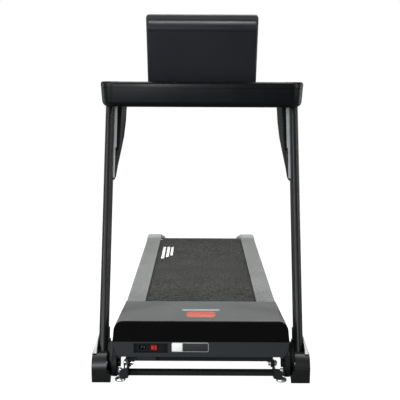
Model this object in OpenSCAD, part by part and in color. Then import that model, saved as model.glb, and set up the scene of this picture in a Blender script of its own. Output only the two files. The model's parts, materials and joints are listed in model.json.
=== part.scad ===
// Folding home treadmill: a leaning upright frame with a console, and a motor-driven running deck
// that folds up about a pivot low at the front. Millimetres, +Z up, +Y towards the rear of the deck.
// Origin: centre of the bounding box at floor level. Side parts are drawn for +X and mirrored.
// Most modules draw from the front face of the base covers (Y = 0) and are moved by placed().

/* [Overall] */
// Length from the front of the base covers to the rear end caps
overall_l = 1720; // [1690:1:1760]
// Width over the two base covers
overall_w = 770; // [764:1:780]

/* [Uprights] */
// Lean of the uprights from vertical, towards the rear
upright_lean = 20.7; // [20:0.1:21.5]
// Thickness of an upright seen from the front
upright_t = 30; // [28:1:30]
// Depth of an upright along its section
upright_d = 74; // [70:1:76]
// Inner face of each upright from the centre plane
upright_in = 337; // [336:0.5:338]

/* [Console bar] */
// Height of the bar's underside above the floor
bar_z0 = 954; // [950:1:958]
// Height of the bar from underside to top
bar_h = 95; // [90:1:97]
// Half width of the bar at its top edge
bar_half = 385; // [381:1:385]
// Front face of the bar
bar_y0 = 330; // [328:1:334]
// Depth of the bar between the arms
bar_d = 58; // [54:1:60]

/* [Console] */
// Backward tilt of the console
console_tilt = 21; // [19:0.5:22]
// Half width of the console's face plate
console_half = 207.5; // [204:0.5:210]
// Length of the face plate along its slope
console_l = 242; // [240:1:244]
// Depth of the housing behind the face plate
console_d = 45; // [42:1:46]
// Travel of a console button
button_travel = 1.5; // [1:0.1:2]

/* [Deck] */
// Downward slope of the deck towards the rear
deck_slope = 0.4; // [0.35:0.01:0.5]
// Height of the plane of the side rails' tops, taken at Y = 0
deck_z0 = 185.8; // [185:0.1:186.5]
// Half width over the side rails
deck_half = 296; // [294:1:297]
// Half width between the side rails
rail_in = 222; // [221:0.5:223]
// Half width of the running belt
belt_half = 216; // [214:1:217]
// Length of the motor hood
hood_l = 352; // [348:1:356]
// Largest half width of the motor hood
hood_half = 310; // [308:1:312]

/* [Fold pivot] */
// Pivot axis behind the front face
pivot_y = 75; // [74:0.5:76]
// Height of the pivot axis
pivot_z = 50; // [49:0.5:51]

/* [Hidden] */

$fn = 48;
eps = 0.01;                  // overlap of a cutting solid past the face that it cuts
fit = 0.05;                  // radial clearance of a pin or shaft in its bore
cover_half = overall_w / 2;
upright_out = upright_in + upright_t;
bar_z1 = bar_z0 + bar_h;

// ---- base ----
rail_x0 = 304;               // inner face of a base rail
rail_x1 = 334;
rail_y0 = 56;
rail_y1 = 760;
rail_z0 = 6;
rail_z1 = 46;
tube_wall = 2;
upright_plate_x1 = upright_in - 0.2;
bracket_x0 = 318;            // foot bracket beside an upright
bracket_top = 122;
bracket_t = 3;
foot_x = 287;                // levelling foot
foot_y = 32;
foot_stud_r = 5;
foot_tab_z = 30;             // underside of the tab that a foot screws into
foot_tab_t = 4;
crossbar_y0 = 60;
crossbar_y1 = 89;
crossbar_z1 = 22;
ear_x0 = 259;                // pivot ear plate
ear_x1 = 264;
ear_flange_y = 16;
ear_flange_t = 3;
lug_x0 = 252.5;              // lug of the deck beside the ear
lug_x1 = 258.5;
pivot_r = 6;
cover_top = 100;
cover_z0 = 2;
cover_wall = 3;
fin_gap = 1.5;                // fairing inside the side of a base cover
fin_wall = 2.5;
cover_x0 = 315;
wheel_y = 34;
wheel_z = 27;
wheel_r = 25;
handrail_top = 1042;
wheel_x0 = 342;
wheel_x1 = 364;
axle_r = 4;
upright_y0 = 92;             // a point of the uprights' centre line
upright_z0 = 91;
upright_cut_z = 58;          // horizontal cut at the foot of an upright
upright_cut_top = 953.7;
bolt_r = 4;
bolt_heights = [82, 124];

// ---- console ----
face_y0 = console_d + 0.3;   // back of the face plate
face_t = 12;
face_y1 = face_y0 + face_t;
housing_top = console_l - 4;
lens_z0 = 120;
lens_z1 = 212;
lens_half = 130;
button_z = 62;
start_x = -60;
stop_x = 60;
speed_x = 130;
start_r = 11;
speed_r = 9;
rim_r = 1;                   // rounding of a button's rim

// ---- deck ----
roller_r = 20;
roller_z = -30;
front_roller_y = 296;
rear_roller_y = 1682;
belt_in = roller_r + 0.4;    // inner radius of the belt at a roller
belt_t = 2;
roller_axle_r = 6;
tube_x0 = 252;               // deck frame tubes
tube_x1 = 282;
tube_z1 = -34;
tube_z0 = -74;
board_half = 276;
board_z1 = -9.8;
board_t = 18;
deck_start = 330;            // rails and board start under the hood
deck_end = 1668;
cap_top = 8;                 // top of an end cap above the rails
deck_rear = (overall_l - cap_top * sin(deck_slope)) / cos(deck_slope);
member_y = [70, 216, 700, 1150, 1600];
member_w = 30;
member_z0 = -82;
member_z1 = -60;
motor_y = 150;
motor_r = 45;
pulley_x0 = 228;
pulley_x1 = 243;
motor_pulley_r = 16;
roller_pulley_r = 32;
drive_belt_t = 2.5;

// ---- strut ----
strut_x = 270;
strut_base = [120, 34];      // lower pivot, Y and Z
strut_top = [640, 76];       // upper pivot, Y and Z
strut_len = norm(strut_top - strut_base);
strut_angle = atan2(strut_top[1] - strut_base[1], strut_top[0] - strut_base[0]);
strut_open_r = 13;           // enlarged eye of the opened pivot

// ---- hood ----
hood_z0 = 98.5;
hood_split_z = 153.3;        // between front panel and lower panel
hood_top_front = 226;
hood_top_rear = 190;
hood_wall = 3;
hood_face_y = 1.5;           // front of the front panels
hood_joint_y = 12;           // rear edge of the front panels, where the cover begins
belly_half = 283.5;          // half width of the belly pan
notch_x0 = 256;              // notch of the belly pan over an ear and a levelling foot
notch_y1 = 50;
hood_screw_x = [-250, 0, 250];
hood_screw_z = hood_split_z + 9;
hood_screw_r = 4;
socket_x = [-236, -116];
socket_z = [113, 148];
socket_y = 9;
inlet_x = -205;
switch_x = -165;
reset_x = -130;
sockets_z = 130.5;
switch_pin_y = 16;           // axis of the rocker
switch_pin_r = 1.6;

// ---- helpers ----

// Points of an arc of radius r about [cy, cz] from angle a0 to a1
function arc(cy, cz, r, a0, a1, n = 12) =
    [for (i = [0 : n]) let (a = a0 + (a1 - a0) * i / n) [cy + r * cos(a), cz + r * sin(a)]];

module placed() { translate([0, -overall_l / 2, 0]) children(); }

// The deck's own frame: Y along the deck, Z = 0 in the plane of the rails' tops
module on_deck() { placed() translate([0, 0, deck_z0]) rotate([-deck_slope, 0, 0]) children(); }

module left() { mirror([1, 0, 0]) children(); }

module both() {
    children();
    mirror([1, 0, 0]) children();
}

// Block from corner lo to corner hi
module block(lo, hi) { translate(lo) cube(hi - lo); }

// 2D outline drawn in (Y, Z), extruded along X
module yz(x0, x1) { translate([x0, 0, 0]) rotate([90, 0, 90]) linear_extrude(x1 - x0) children(); }

// 2D outline drawn in (X, Z), extruded along Y
module xz(y0, y1) { translate([0, y1, 0]) rotate([90, 0, 0]) linear_extrude(y1 - y0) children(); }

// Round bar along X
module x_rod(y, z, r, x0, x1) { translate([x0, y, z]) rotate([0, 90, 0]) cylinder(h = x1 - x0, r = r); }

// Hexagon bar along X
module x_hex(y, z, across, x0, x1) {
    translate([x0, y, z]) rotate([0, 90, 0]) cylinder(h = x1 - x0, r = across / 2 / cos(30), $fn = 6);
}

// Rounded rectangle with centre at the origin
module round_rect(w, h, r) {
    square([w - 2 * r, h], center = true);
    square([w, h - 2 * r], center = true);
    for (sx = [-1, 1], sy = [-1, 1]) translate([sx * (w / 2 - r), sy * (h / 2 - r)]) circle(r);
}

// Rectangular tube along Y
module y_tube(x0, x1, y0, y1, z0, z1) {
    difference() {
        block([x0, y0, z0], [x1, y1, z1]);
        block([x0 + tube_wall, y0 - eps, z0 + tube_wall], [x1 - tube_wall, y1 + eps, z1 - tube_wall]);
    }
}

// Rectangular tube along X
module x_tube(x0, x1, y0, y1, z0, z1) {
    difference() {
        block([x0, y0, z0], [x1, y1, z1]);
        block([x0 - eps, y0 + tube_wall, z0 + tube_wall], [x1 + eps, y1 - tube_wall, z1 - tube_wall]);
    }
}

// Y of the uprights' centre line at height z
function upright_y(z) = upright_y0 + (z - upright_z0) * tan(upright_lean);

// ---- base frame ----

module base_rail() {
    placed() {
        y_tube(rail_x0, rail_x1, rail_y0, rail_y1, rail_z0, rail_z1);
        difference() {
            yz(rail_x1 - eps, upright_plate_x1)
                polygon([[18, 12], [120, 12], [131, 94], [150, 160], [110, 160], [62, 60], [18, 44]]);
            x_rod(wheel_y, wheel_z, axle_r + fit, rail_x1 - 1, upright_in + 1);
            for (z = bolt_heights) x_rod(upright_y(z), z, bolt_r + fit, rail_x1 - 1, upright_in + 1);
        }
        foot_bracket();
    }
}

// Folded bracket that braces the upright's plate on the rail, open at the top and rear
module foot_bracket() {
    z0 = rail_z1 - eps;
    difference() {
        yz(bracket_x0, rail_x1 + eps)
            polygon([[60, z0], [116, z0], [128, 94], [136, bracket_top], [88, bracket_top], [60, 62]]);
        yz(bracket_x0 + bracket_t, rail_x1 - eps)
            polygon([[60 + bracket_t, z0 + eps], [60 + bracket_t, 61], [88 + bracket_t, bracket_top + 1],
                [145, bracket_top + 1], [145, z0 + eps]]);
    }
}

module base_rail_left() { color("#202224") left() base_rail(); }

module base_rail_right() { color("#202224") base_rail(); }

module base_crossbars() {
    color("#202224") placed() {
        x_tube(-rail_x0, rail_x0, crossbar_y0, crossbar_y1, rail_z0, crossbar_z1);
        x_tube(-rail_x0, rail_x0, 715, 745, rail_z0, rail_z1 - 8);
    }
}

// Side plate that carries the pivot bolt, front flange and foot tab of one side
module pivot_ear() {
    difference() {
        yz(ear_x0, ear_x1)
            polygon(concat([[ear_flange_y, 13], [crossbar_y0 - 0.2, 6], [crossbar_y0 - 0.2, crossbar_z1 + 0.2],
                [crossbar_y1, crossbar_z1 + 0.2]], arc(pivot_y, pivot_z, 13.8, 0, 180), [[ear_flange_y, 50]]));
        x_rod(pivot_y, pivot_z, pivot_r + fit, ear_x0 - 1, ear_x1 + 1);
    }
    xz(ear_flange_y, ear_flange_y + ear_flange_t)
        polygon([[ear_x1 - eps, 13], [288, 13], [288, 38], [272, 50], [ear_x1 - eps, 50]]);
    difference() {
        block([ear_x1 - eps, ear_flange_y, foot_tab_z], [300, 46, foot_tab_z + foot_tab_t]);
        translate([foot_x, foot_y, foot_tab_z - 1]) cylinder(h = foot_tab_t + 2, r = foot_stud_r + fit);
    }
}

module pivot_ears() { color("#2a2c30") placed() both() pivot_ear(); }

module levelling_foot() {
    translate([foot_x, foot_y, 0]) {
        rotate_extrude()
            polygon(concat([[0, 0], [17, 0]], arc(17, 2, 2, -90, 0, 6), arc(15, 5, 4, 0, 90, 6), [[0, 9]]));
        cylinder(h = 46, r = foot_stud_r);
        translate([0, 0, foot_tab_z + foot_tab_t + 0.2]) difference() {
            cylinder(h = 8, r = 17 / 2 / cos(30), $fn = 6);
            translate([0, 0, -1]) cylinder(h = 10, r = foot_stud_r - 0.1);
        }
    }
}

module levelling_feet() {
    color("#c8ccd0") placed() both() {
        levelling_foot();
        translate([319, 735, 0]) cylinder(h = rail_z0, r1 = 16, r2 = 15);
    }
}

// Side outline of a base cover, inset from its outer face
module cover_outline(inset) {
    top = cover_top - inset;
    low = inset > 0 ? cover_z0 - 5 : cover_z0;
    nose_r = 60;
    nose_end = 115;
    polygon(concat([[4 + inset, low]],
        arc(nose_r, cover_top - nose_r * sin(nose_end), nose_r - inset, 180, nose_end),
        [[140, top], [318 - inset, 46], [326 - inset, 38], [326 - inset, low]]));
}

module base_cover() {
    difference() {
        yz(cover_x0, cover_half) cover_outline(0);
        yz(cover_x0 - 1, cover_half - cover_wall) cover_outline(cover_wall);
        // inner edge, set back above the flank of the inner cover
        xz(-1, 400) polygon([[295, -1], [319, -1], [cover_x0, 33], [331, 38], [333, cover_top + 1],
            [295, cover_top + 1]]);
        // opening for the upright and its plate
        upright_hole(1.5);
        // notch for the base rail in the rear wall
        block([300, 300, -1], [337.5, 340, rail_z1 + 1]);
    }
}

// Space of an upright, grown by gap on every side
module upright_hole(gap) {
    translate([0, upright_y0, upright_z0]) rotate([-upright_lean, 0, 0]) translate([0, 0, -60])
        linear_extrude(200) translate([upright_in + upright_t / 2 - 3, 0])
            square([upright_t + 2 * gap + 6, upright_d + 2 * gap], center = true);
}

module base_cover_left() { color("#3a3e42") placed() left() base_cover(); }

module base_cover_right() { color("#3a3e42") placed() base_cover(); }

// Round inner cover around the fold pivot, open towards the rail
module inner_cover() {
    x0 = 300.5;
    x1 = 317.6;
    difference() {
        union() {
            x_rod(pivot_y, pivot_z, 49, x0, x1);
            x_rod(pivot_y, pivot_z, 14.5, 289, x0 + eps);
        }
        x_rod(pivot_y, pivot_z, 46.5, x0 + 2.6, x1 + 1);
        block([x0 + 2.6, rail_y0 - 1, rail_z0 - 1], [x1 + 1, 140, rail_z1 + 1]);
        block([x0 - 1, crossbar_y0 - 0.3, -1], [x1 + 1, crossbar_y1 + 0.3, crossbar_z1 + 0.3]);
        block([x0 - 1, 0, -1], [x1 + 1, 140, cover_z0 + 1]);
        // the lower half leans outward
        xz(0, 54) polygon([[290, 42], [290, 0], [316, 0], [x0 - 0.5, 42]]);
    }
}

module inner_covers() { color("#26282c") placed() both() inner_cover(); }

// Silver fairing that rises beside the foot of an upright
module side_fin() {
    outline = [[26, cover_top + 0.2], [34, 110], [60, 126], [90, 137], [120, 140], [150, 134], [185, 112],
        [205, cover_top - 30]];
    inner = [[40, cover_top - 40], [40, 108], [62, 121], [92, 132], [120, 135], [147, 130], [178, 109],
        [190, cover_top - 40]];
    difference() {
        yz(upright_out + 2, cover_half - fin_gap) polygon(outline);
        fin_lean(0);
        difference() {
            yz(upright_out + 1, cover_half - fin_gap - fin_wall) polygon(inner);
            fin_lean(fin_wall);
        }
        // the cover's top passes below
        yz(upright_out + 1, cover_half) under_cover();
    }
}

// Region outside the leaning outer face of a fairing, moved in by inset
module fin_lean(inset) {
    x_low = cover_half - fin_gap - inset;
    x_high = upright_out + 5 - inset;
    xz(0, 300) polygon([[x_low, cover_top - 4], [x_high, 140], [x_high, 300], [500, 300], [500, cover_top - 4]]);
}

// Region under the sloping top of a base cover
module under_cover() {
    polygon([[0, 0], [0, cover_top + 0.2], [140.1, cover_top + 0.2], [318.2, 46.4], [318.2, 0]]);
}

module side_fins() { color("#a8acae") placed() both() side_fin(); }

// ---- uprights ----

module upright() {
    difference() {
        translate([0, upright_y0, upright_z0]) rotate([-upright_lean, 0, 0]) translate([0, 0, -120])
            linear_extrude(1150) translate([upright_in + upright_t / 2, 0]) difference() {
                round_rect(upright_t, upright_d, upright_t / 2 - 0.5);
                round_rect(upright_t - 2 * tube_wall, upright_d - 2 * tube_wall, upright_t / 2 - 2.5);
            }
        block([300, -300, -200], [400, 900, upright_cut_z]);
        block([300, -300, upright_cut_top], [400, 900, 1300]);
        for (z = bolt_heights) x_rod(upright_y(z), z, bolt_r + fit, upright_in - 5, upright_out + 5);
    }
}

module upright_left() { color("#18191b") placed() left() upright(); }

module upright_right() { color("#18191b") placed() upright(); }

// Pivot bolt with its nut on one side
module pivot_bolt() {
    x_rod(pivot_y, pivot_z, pivot_r, ear_x0 - 14, ear_x1 + 11);
    x_rod(pivot_y, pivot_z, 9, ear_x0 - 15, ear_x0 - 7);
    x_hex(pivot_y, pivot_z, 19, ear_x1 + 0.3, ear_x1 + 8.3);
}

// Bolt through an upright and its plate
module upright_bolt(z) {
    y = upright_y(z);
    x_rod(y, z, bolt_r, rail_x1 - 2, upright_out + 4);
    x_hex(y, z, 13, rail_x1 - 7, rail_x1 - 0.2);
    x_rod(y, z, 7.5, upright_out + 0.2, upright_out + 4);
}

module frame_bolts() {
    color("#c0c4c8") placed() both() {
        pivot_bolt();
        for (z = bolt_heights) upright_bolt(z);
    }
}

// ---- transport wheels ----

module wheel() {
    translate([wheel_x0, wheel_y, wheel_z]) rotate([0, 90, 0]) rotate_extrude() {
        w = wheel_x1 - wheel_x0;
        polygon([[axle_r + fit, 0], [11, 0], [11, 5], [17, 5], [17, 0], [23, 0], [wheel_r, 2],
            [wheel_r, w - 2], [23, w], [17, w], [17, w - 5], [11, w - 5], [11, w], [axle_r + fit, w]]);
    }
}

module wheel_left() { color("#1c1d1f") placed() left() wheel(); }

module wheel_right() { color("#1c1d1f") placed() wheel(); }

module wheel_axles() {
    color("#b8bcc0") placed() both() {
        x_rod(wheel_y, wheel_z, axle_r, rail_x1 - 8, wheel_x1 + 10);
        x_rod(wheel_y, wheel_z, 7, rail_x1 - 8, rail_x1 - 0.3);
        x_rod(wheel_y, wheel_z, 7, upright_in + 0.2, wheel_x0 - 0.4);
        x_hex(wheel_y, wheel_z, 13, wheel_x1 + 0.6, wheel_x1 + 7);
    }
}

// ---- console bar and handrails ----

// Plan of the C-shaped bar, inset from its widest outline
module bar_outline(inset) {
    corner = 55;
    x1 = bar_half - inset;
    y0 = bar_y0 + inset;
    y1 = bar_y0 + bar_d;
    y_end = 440;
    x_in = 312;
    right = concat(arc(x1 - corner, y0 + corner, corner, -90, 0, 12), [[x1, y_end], [x_in, y_end]],
        arc(x_in - 20, y1 + 20, 20, 0, -90, 6));
    left_side = [for (i = [len(right) - 1 : -1 : 0]) [-right[i][0], right[i][1]]];
    polygon(concat(right, left_side));
}

// The bar in layers whose inset follows its rounded section
module console_bar() {
    layers = [[0, 10, 16], [10, 20, 10], [20, 50, 7], [50, 78, 3], [78, bar_h - 8, 0], [bar_h - 8, bar_h, 5]];
    color("#1b1d20") placed() translate([0, 0, bar_z0]) difference() {
        union() {
            for (l = layers) translate([0, 0, l[0]]) linear_extrude(l[1] - l[0]) bar_outline(l[2]);
        }
        difference() {
            translate([0, 0, 4]) linear_extrude(bar_h - 8) bar_outline(20);
            block([-400, bar_y0 + bar_d - 4, -1], [400, 460, bar_h + 1]);
        }
    }
}

// Side outline of a handrail: a grip on top of a web that tapers down to the upright
module handrail_outline() {
    front_low = upright_y(676) + upright_d / 2 / cos(upright_lean) + 0.4;
    front_top = upright_y(bar_z0) + upright_d / 2 / cos(upright_lean) + 0.4;
    polygon(concat([[front_low, 676], [front_top, bar_z0 - 0.2], [440.3, bar_z0 - 0.2], [440.3, handrail_top]],
        arc(600, handrail_top - 38, 38, 90, 0, 8), arc(608, 950, 30, 0, -60, 5),
        [[590, 880], [518, 820], [460, 770], [412, 716], [382, 680]]));
}

// The part of the handrail beside the upright's inner face
module handrail_inner_outline() {
    y_low = upright_y(790) + 4;
    y_top = upright_y(bar_z0) + 4;
    polygon([[y_low, 790], [y_top, bar_z0 - 0.3], [500, bar_z0 - 0.3], [440, 790]]);
}

module handrail() {
    difference() {
        union() {
            yz(308, 378) handrail_outline();
            yz(308, upright_in - 0.3) handrail_inner_outline();
        }
        // the inner face draws outward towards the lower tip
        xz(0, 700) polygon([[300, 600], [300, 850], [308, 850], [311, 815], [318, 765], [328, 705], [333, 600]]);
        xz(0, 700) polygon([[390, 600], [390, 1100], [378.5, 1100], [376, 960], [368, 880], [367, 600]]);
        // the hollow inside
        yz(313, 371) polygon([[470, 965], [450, 965], [450, 1034], [600, 1032], [630, 998], [632, 955], [606, 916],
            [560, 880], [500, 838], [490, 870]]);
    }
}

module handrail_left() { color("#1b1d20") placed() left() handrail(); }

module handrail_right() { color("#1b1d20") placed() handrail(); }

// Metal strip that ties the handrail to the upright's inner face
module handrail_strips() {
    top = (bar_z0 - upright_z0 - 3) / cos(upright_lean);
    color("#8e9296") placed() both() translate([0, upright_y0, upright_z0]) rotate([-upright_lean, 0, 0]) {
        block([325, -2.5, top - 160], [upright_in - 0.3, 1, top]);
        block([329, -2.5, top - 280], [upright_in - 0.3, 1, top - 160 + eps]);
        for (h = [52, 102]) translate([331, -2.5 + eps, top - h]) rotate([90, 0, 0]) cylinder(h = 3, r = 4.5);
    }
}

// Hand pulse plates on the grips
module pulse_sensors() {
    color("#d0d3d6") placed() both() {
        for (y = [492, 548]) block([322, y, handrail_top + 0.05], [364, y + 44, handrail_top + 1.8]);
    }
}

// ---- console ----

// The console's own frame: Z up the slope, Y through the console towards the user
module on_console() { placed() translate([0, 375, bar_z1]) rotate([console_tilt, 0, 0]) children(); }

module console_housing() {
    w = console_half - 4;
    module outline(inset, open) {
        polygon(concat([[inset, -30]], arc(15, housing_top - 15, 15 - inset, 180, 90, 8),
            [[console_d + open, housing_top - inset], [console_d + open, -30]]));
    }
    color("#232427") intersection() {
        on_console() difference() {
            yz(-w, w) outline(0, 0);
            yz(-w + cover_wall, w - cover_wall) outline(cover_wall, 5);
            block([-w + cover_wall, 30, -50], [w - cover_wall, 60, 20]);
        }
        union() {
            placed() block([-300, 200, bar_z1 + 0.3], [300, 600, 1400]);
            placed() block([-300, bar_y0 + bar_d + 0.5, bar_z1 - 32], [300, 600, 1400]);
        }
    }
}

module console_face() {
    w = console_half;
    color("#1a1b1e") on_console() difference() {
        translate([0, face_y0, 0]) rotate([-90, 0, 0]) linear_extrude(face_t)
            translate([0, -(console_l - 30) / 2]) round_rect(2 * w, console_l + 30, 12);
        block([-lens_half, face_y1 - 4, lens_z0], [lens_half, face_y1 + 1, lens_z1]);
        for (x = [start_x, stop_x]) console_hole(x, start_r + 0.3);
        for (x = [-speed_x, speed_x]) console_hole(x, speed_r + 0.3);
        block([-20, face_y0 - 1, 8], [20, face_y1 + 1, 32]);
    }
}

// Round hole through the face plate
module console_hole(x, r) {
    translate([x, face_y0 - 1, button_z]) rotate([-90, 0, 0]) cylinder(h = face_t + 2, r = r);
}

module display_lens() {
    color("#0b0d10") on_console()
        block([-lens_half + 0.3, face_y1 - 3.9, lens_z0 + 0.3], [lens_half - 0.3, face_y1 - 0.4, lens_z1 - 0.3]);
}

// Round push button with a rear flange's worth of depth
module push_button(x, r) {
    h = face_t - 4 + button_travel + rim_r;
    on_console() translate([x, face_y0 + 4, button_z]) rotate([-90, 0, 0]) rotate_extrude()
        polygon(concat([[0, 0], [r, 0]], arc(r - rim_r, h - rim_r, rim_r, 0, 90, 4), [[0, h]]));
}

module start_button() { color("#2f9e4b") push_button(start_x, start_r); }

module stop_button() { color("#c0392b") push_button(stop_x, start_r); }

module speed_up_button() { color("#3a3c40") push_button(speed_x, speed_r); }

module speed_down_button() { color("#3a3c40") push_button(-speed_x, speed_r); }

module key_socket() {
    color("#2b2d31") on_console() difference() {
        block([-19.7, face_y0 + 0.5, 8.3], [19.7, face_y1 - 1, 31.7]);
        block([-16, face_y1 - 6, 11], [16, face_y1, 29]);
    }
}

module safety_key() {
    color("#c8352b") on_console() {
        block([-15.6, face_y1 - 5.9, 11.4], [15.6, face_y1 - 2, 28.6]);
        translate([0, face_y1 - 2.1, 20]) rotate([-90, 0, 0]) cylinder(h = 8, r = 7);
    }
}

// ---- deck frame ----

// Tube between the lugs, with the lugs and their corner gussets
module deck_front_tube() {
    tube_zb = 61.5;
    tube_zt = 84.5;
    color("#1e2023") placed() {
        x_tube(-lug_x0, lug_x0, crossbar_y0, crossbar_y0 + 30, tube_zb, tube_zt);
        both() {
            difference() {
                yz(lug_x0 - eps, lug_x1)
                    polygon(concat([[110, 110.8], [52, 111.1]], arc(pivot_y, pivot_z, 15, 180, 360)));
                x_rod(pivot_y, pivot_z, pivot_r + fit, lug_x0 - 1, lug_x1 + 1);
            }
            xz(85, 89) polygon([[226, tube_zb + eps], [lug_x0, tube_zb + eps], [lug_x0, 41]]);
        }
    }
}

module frame_tubes() {
    color("#1e2023") on_deck() both() {
        y_tube(tube_x0, tube_x1, 50, 1700, tube_z0, tube_z1);
        // axle plates
        for (y = [front_roller_y, rear_roller_y]) difference() {
            block([tube_x0 - 5, y - 16, -62], [tube_x0 + eps, y + 16, -14]);
            x_rod(y, roller_z, roller_axle_r + fit, tube_x0 - 6, tube_x0 + 1);
        }
        // leg above each rear foot
        y_tube(tube_x0 + 2, tube_x1 - 2, 1560, 1590, -124, tube_z0 + eps);
    }
}

module cross_members() {
    color("#1e2023") on_deck() {
        for (y = member_y) x_tube(-tube_x0 + 0.2, tube_x0 - 0.2, y, y + member_w, member_z0, member_z1);
    }
}

module deck_board() {
    color("#6b5a45") on_deck()
        block([-board_half, deck_start, board_z1 - board_t], [board_half, 1650, board_z1]);
}

// Rubber cushions between the board and the frame
module deck_cushions() {
    color("#2a2a2a") on_deck() both() {
        for (i = [0 : 4]) translate([266, 420 + i * 285, tube_z1]) cylinder(h = board_z1 - board_t - tube_z1, r = 11);
    }
}

module running_belt() {
    color("#2b2c2d") on_deck() difference() {
        belt_loop(belt_in + belt_t, -belt_half, belt_half);
        belt_loop(belt_in, -belt_half - 1, belt_half + 1);
    }
}

// Solid oblong round both rollers, of end radius r
module belt_loop(r, x0, x1) {
    x_rod(front_roller_y, roller_z, r, x0, x1);
    x_rod(rear_roller_y, roller_z, r, x0, x1);
    block([x0, front_roller_y, roller_z - r], [x1, rear_roller_y, roller_z + r]);
}

module roller(y) {
    end = pulley_x0;
    difference() {
        x_rod(y, roller_z, roller_r, -end, end);
        x_rod(y, roller_z, roller_r - 3, -end + 14, end - 14);
        x_rod(y, roller_z, roller_axle_r + fit, -end - 1, end + 1);
    }
}

module front_roller() { color("#9a9da0") on_deck() roller(front_roller_y); }

module rear_roller() { color("#9a9da0") on_deck() roller(rear_roller_y); }

// Belt pulley of outer radius r on the left of the deck, with a groove
module pulley(y, r, bore) {
    difference() {
        x_rod(y, roller_z, r, -pulley_x1, -pulley_x0);
        difference() {
            x_rod(y, roller_z, r + 1, -pulley_x1 + 2, -pulley_x0 - 2);
            x_rod(y, roller_z, r - 3, -pulley_x1, -pulley_x0);
        }
        x_rod(y, roller_z, bore, -pulley_x1 - 1, -pulley_x0 + 1);
    }
}

module roller_pulley() { color("#55585c") on_deck() pulley(front_roller_y, roller_pulley_r, roller_axle_r + fit); }

module roller_axles() {
    color("#b8bcc0") on_deck() {
        for (y = [front_roller_y, rear_roller_y]) x_rod(y, roller_z, roller_axle_r, -tube_x0 + 0.5, tube_x0 - 0.5);
    }
}

module rail_section() {
    polygon([[rail_in, -7], [rail_in, 0], [deck_half - 3, 0], [deck_half, -3], [deck_half, -62],
        [deck_half - 8, -62], [deck_half - 8, -60], [deck_half - 2.5, -60], [deck_half - 2.5, -4],
        [rail_in + 2.5, -3], [rail_in + 2.5, -7]]);
}

// Side rail: an extrusion with ribs along its tread
module side_rail() {
    difference() {
        xz(deck_start, deck_end) rail_section();
        for (i = [0 : 5]) block([235 + i * 9, deck_start - 1, -0.7], [236.4 + i * 9, deck_end + 1, 1]);
    }
}

module side_rail_left() { color("#a4a7a8") on_deck() left() side_rail(); }

module side_rail_right() { color("#a4a7a8") on_deck() side_rail(); }

// Rear end cap: caps the rail and turns in behind the rear roller
module end_cap() {
    y0 = deck_end - 16;
    x1 = deck_half + 2;
    z0 = tube_z0 - 2;
    difference() {
        union() {
            xz(y0, deck_rear) polygon([[rail_in - 1, cap_top - 2], [rail_in + 1, cap_top], [x1 - 9, cap_top],
                [x1, cap_top - 9], [x1, z0 + 6], [x1 - 6, z0], [rail_in + 3, z0], [rail_in + 3, 0.3],
                [rail_in - 1, 0.3]]);
            xz(deck_rear - 12, deck_rear) polygon([[200, z0 + 16], [200, -6], [rail_in, cap_top - 2],
                [rail_in + 4, cap_top - 2], [rail_in + 4, z0 + 16]]);
        }
        // the rail ends inside the cap
        xz(y0 - 1, deck_end + 0.3) polygon([[rail_in - 5, 0.3], [deck_half - 2.8, 0.3], [deck_half + 0.3, -2.8],
            [deck_half + 0.3, z0 - 1], [rail_in - 5, z0 - 1]]);
        // the frame tube and the axle plate
        block([tube_x0 - 5.6, deck_end - 1, z0 - 1], [tube_x1 + 0.4, 1700.4, tube_z1 + 21]);
        // the end of the rear roller
        block([rail_in - 1, deck_end - 1, -62], [tube_x0, 1706, -6]);
    }
}

module end_cap_left() { color("#8b8f91") on_deck() left() end_cap(); }

module end_cap_right() { color("#8b8f91") on_deck() end_cap(); }

// Rubber shoes under the rear legs, level with the floor
module rear_feet() {
    leg_z = deck_z0 - 1575 * sin(deck_slope) - 124 + 1.2;
    color("#222325") placed() both() {
        difference() {
            block([tube_x0 - 4, 1552, 0], [tube_x1 + 4, 1594, leg_z + 12]);
            block([tube_x0 + 1.8, 1556, leg_z - 1.5], [tube_x1 - 1.8, 1590, leg_z + 14]);
        }
    }
}

// ---- drive ----

module motor() {
    color("#3b3d40") on_deck() {
        difference() {
            x_rod(motor_y, roller_z, motor_r, -210, -40);
            x_rod(motor_y, roller_z, 6 + fit, -211, -180);
        }
        difference() {
            block([-200, member_y[0] + member_w + 0.2, -79], [-50, member_y[1] - 0.2, -73]);
            x_rod(motor_y, roller_z, motor_r - 0.5, -211, -39);
        }
    }
}

module motor_rotor() {
    color("#8f9396") on_deck() {
        x_rod(motor_y, roller_z, 6, -246, -184);
        pulley(motor_y, motor_pulley_r, 5.9);
        difference() {
            x_rod(motor_y, roller_z, 38, -226, -213);
            x_rod(motor_y, roller_z, 5.9, -230, -210);
        }
    }
}

// Outline round both pulleys, grown by g
module drive_loop(g) {
    r1 = motor_pulley_r + g;
    r2 = roller_pulley_r + g;
    d = front_roller_y - motor_y;
    a = asin((r2 - r1) / d);
    polygon(concat(arc(front_roller_y, roller_z, r2, -90 - a, 90 + a, 32),
        arc(motor_y, roller_z, r1, 90 + a, 270 - a, 20)));
}

module drive_belt() {
    color("#151515") on_deck() difference() {
        yz(-pulley_x1 + 3, -pulley_x0 - 3) drive_loop(0);
        yz(-pulley_x1, -pulley_x0) drive_loop(-drive_belt_t);
    }
}

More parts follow.
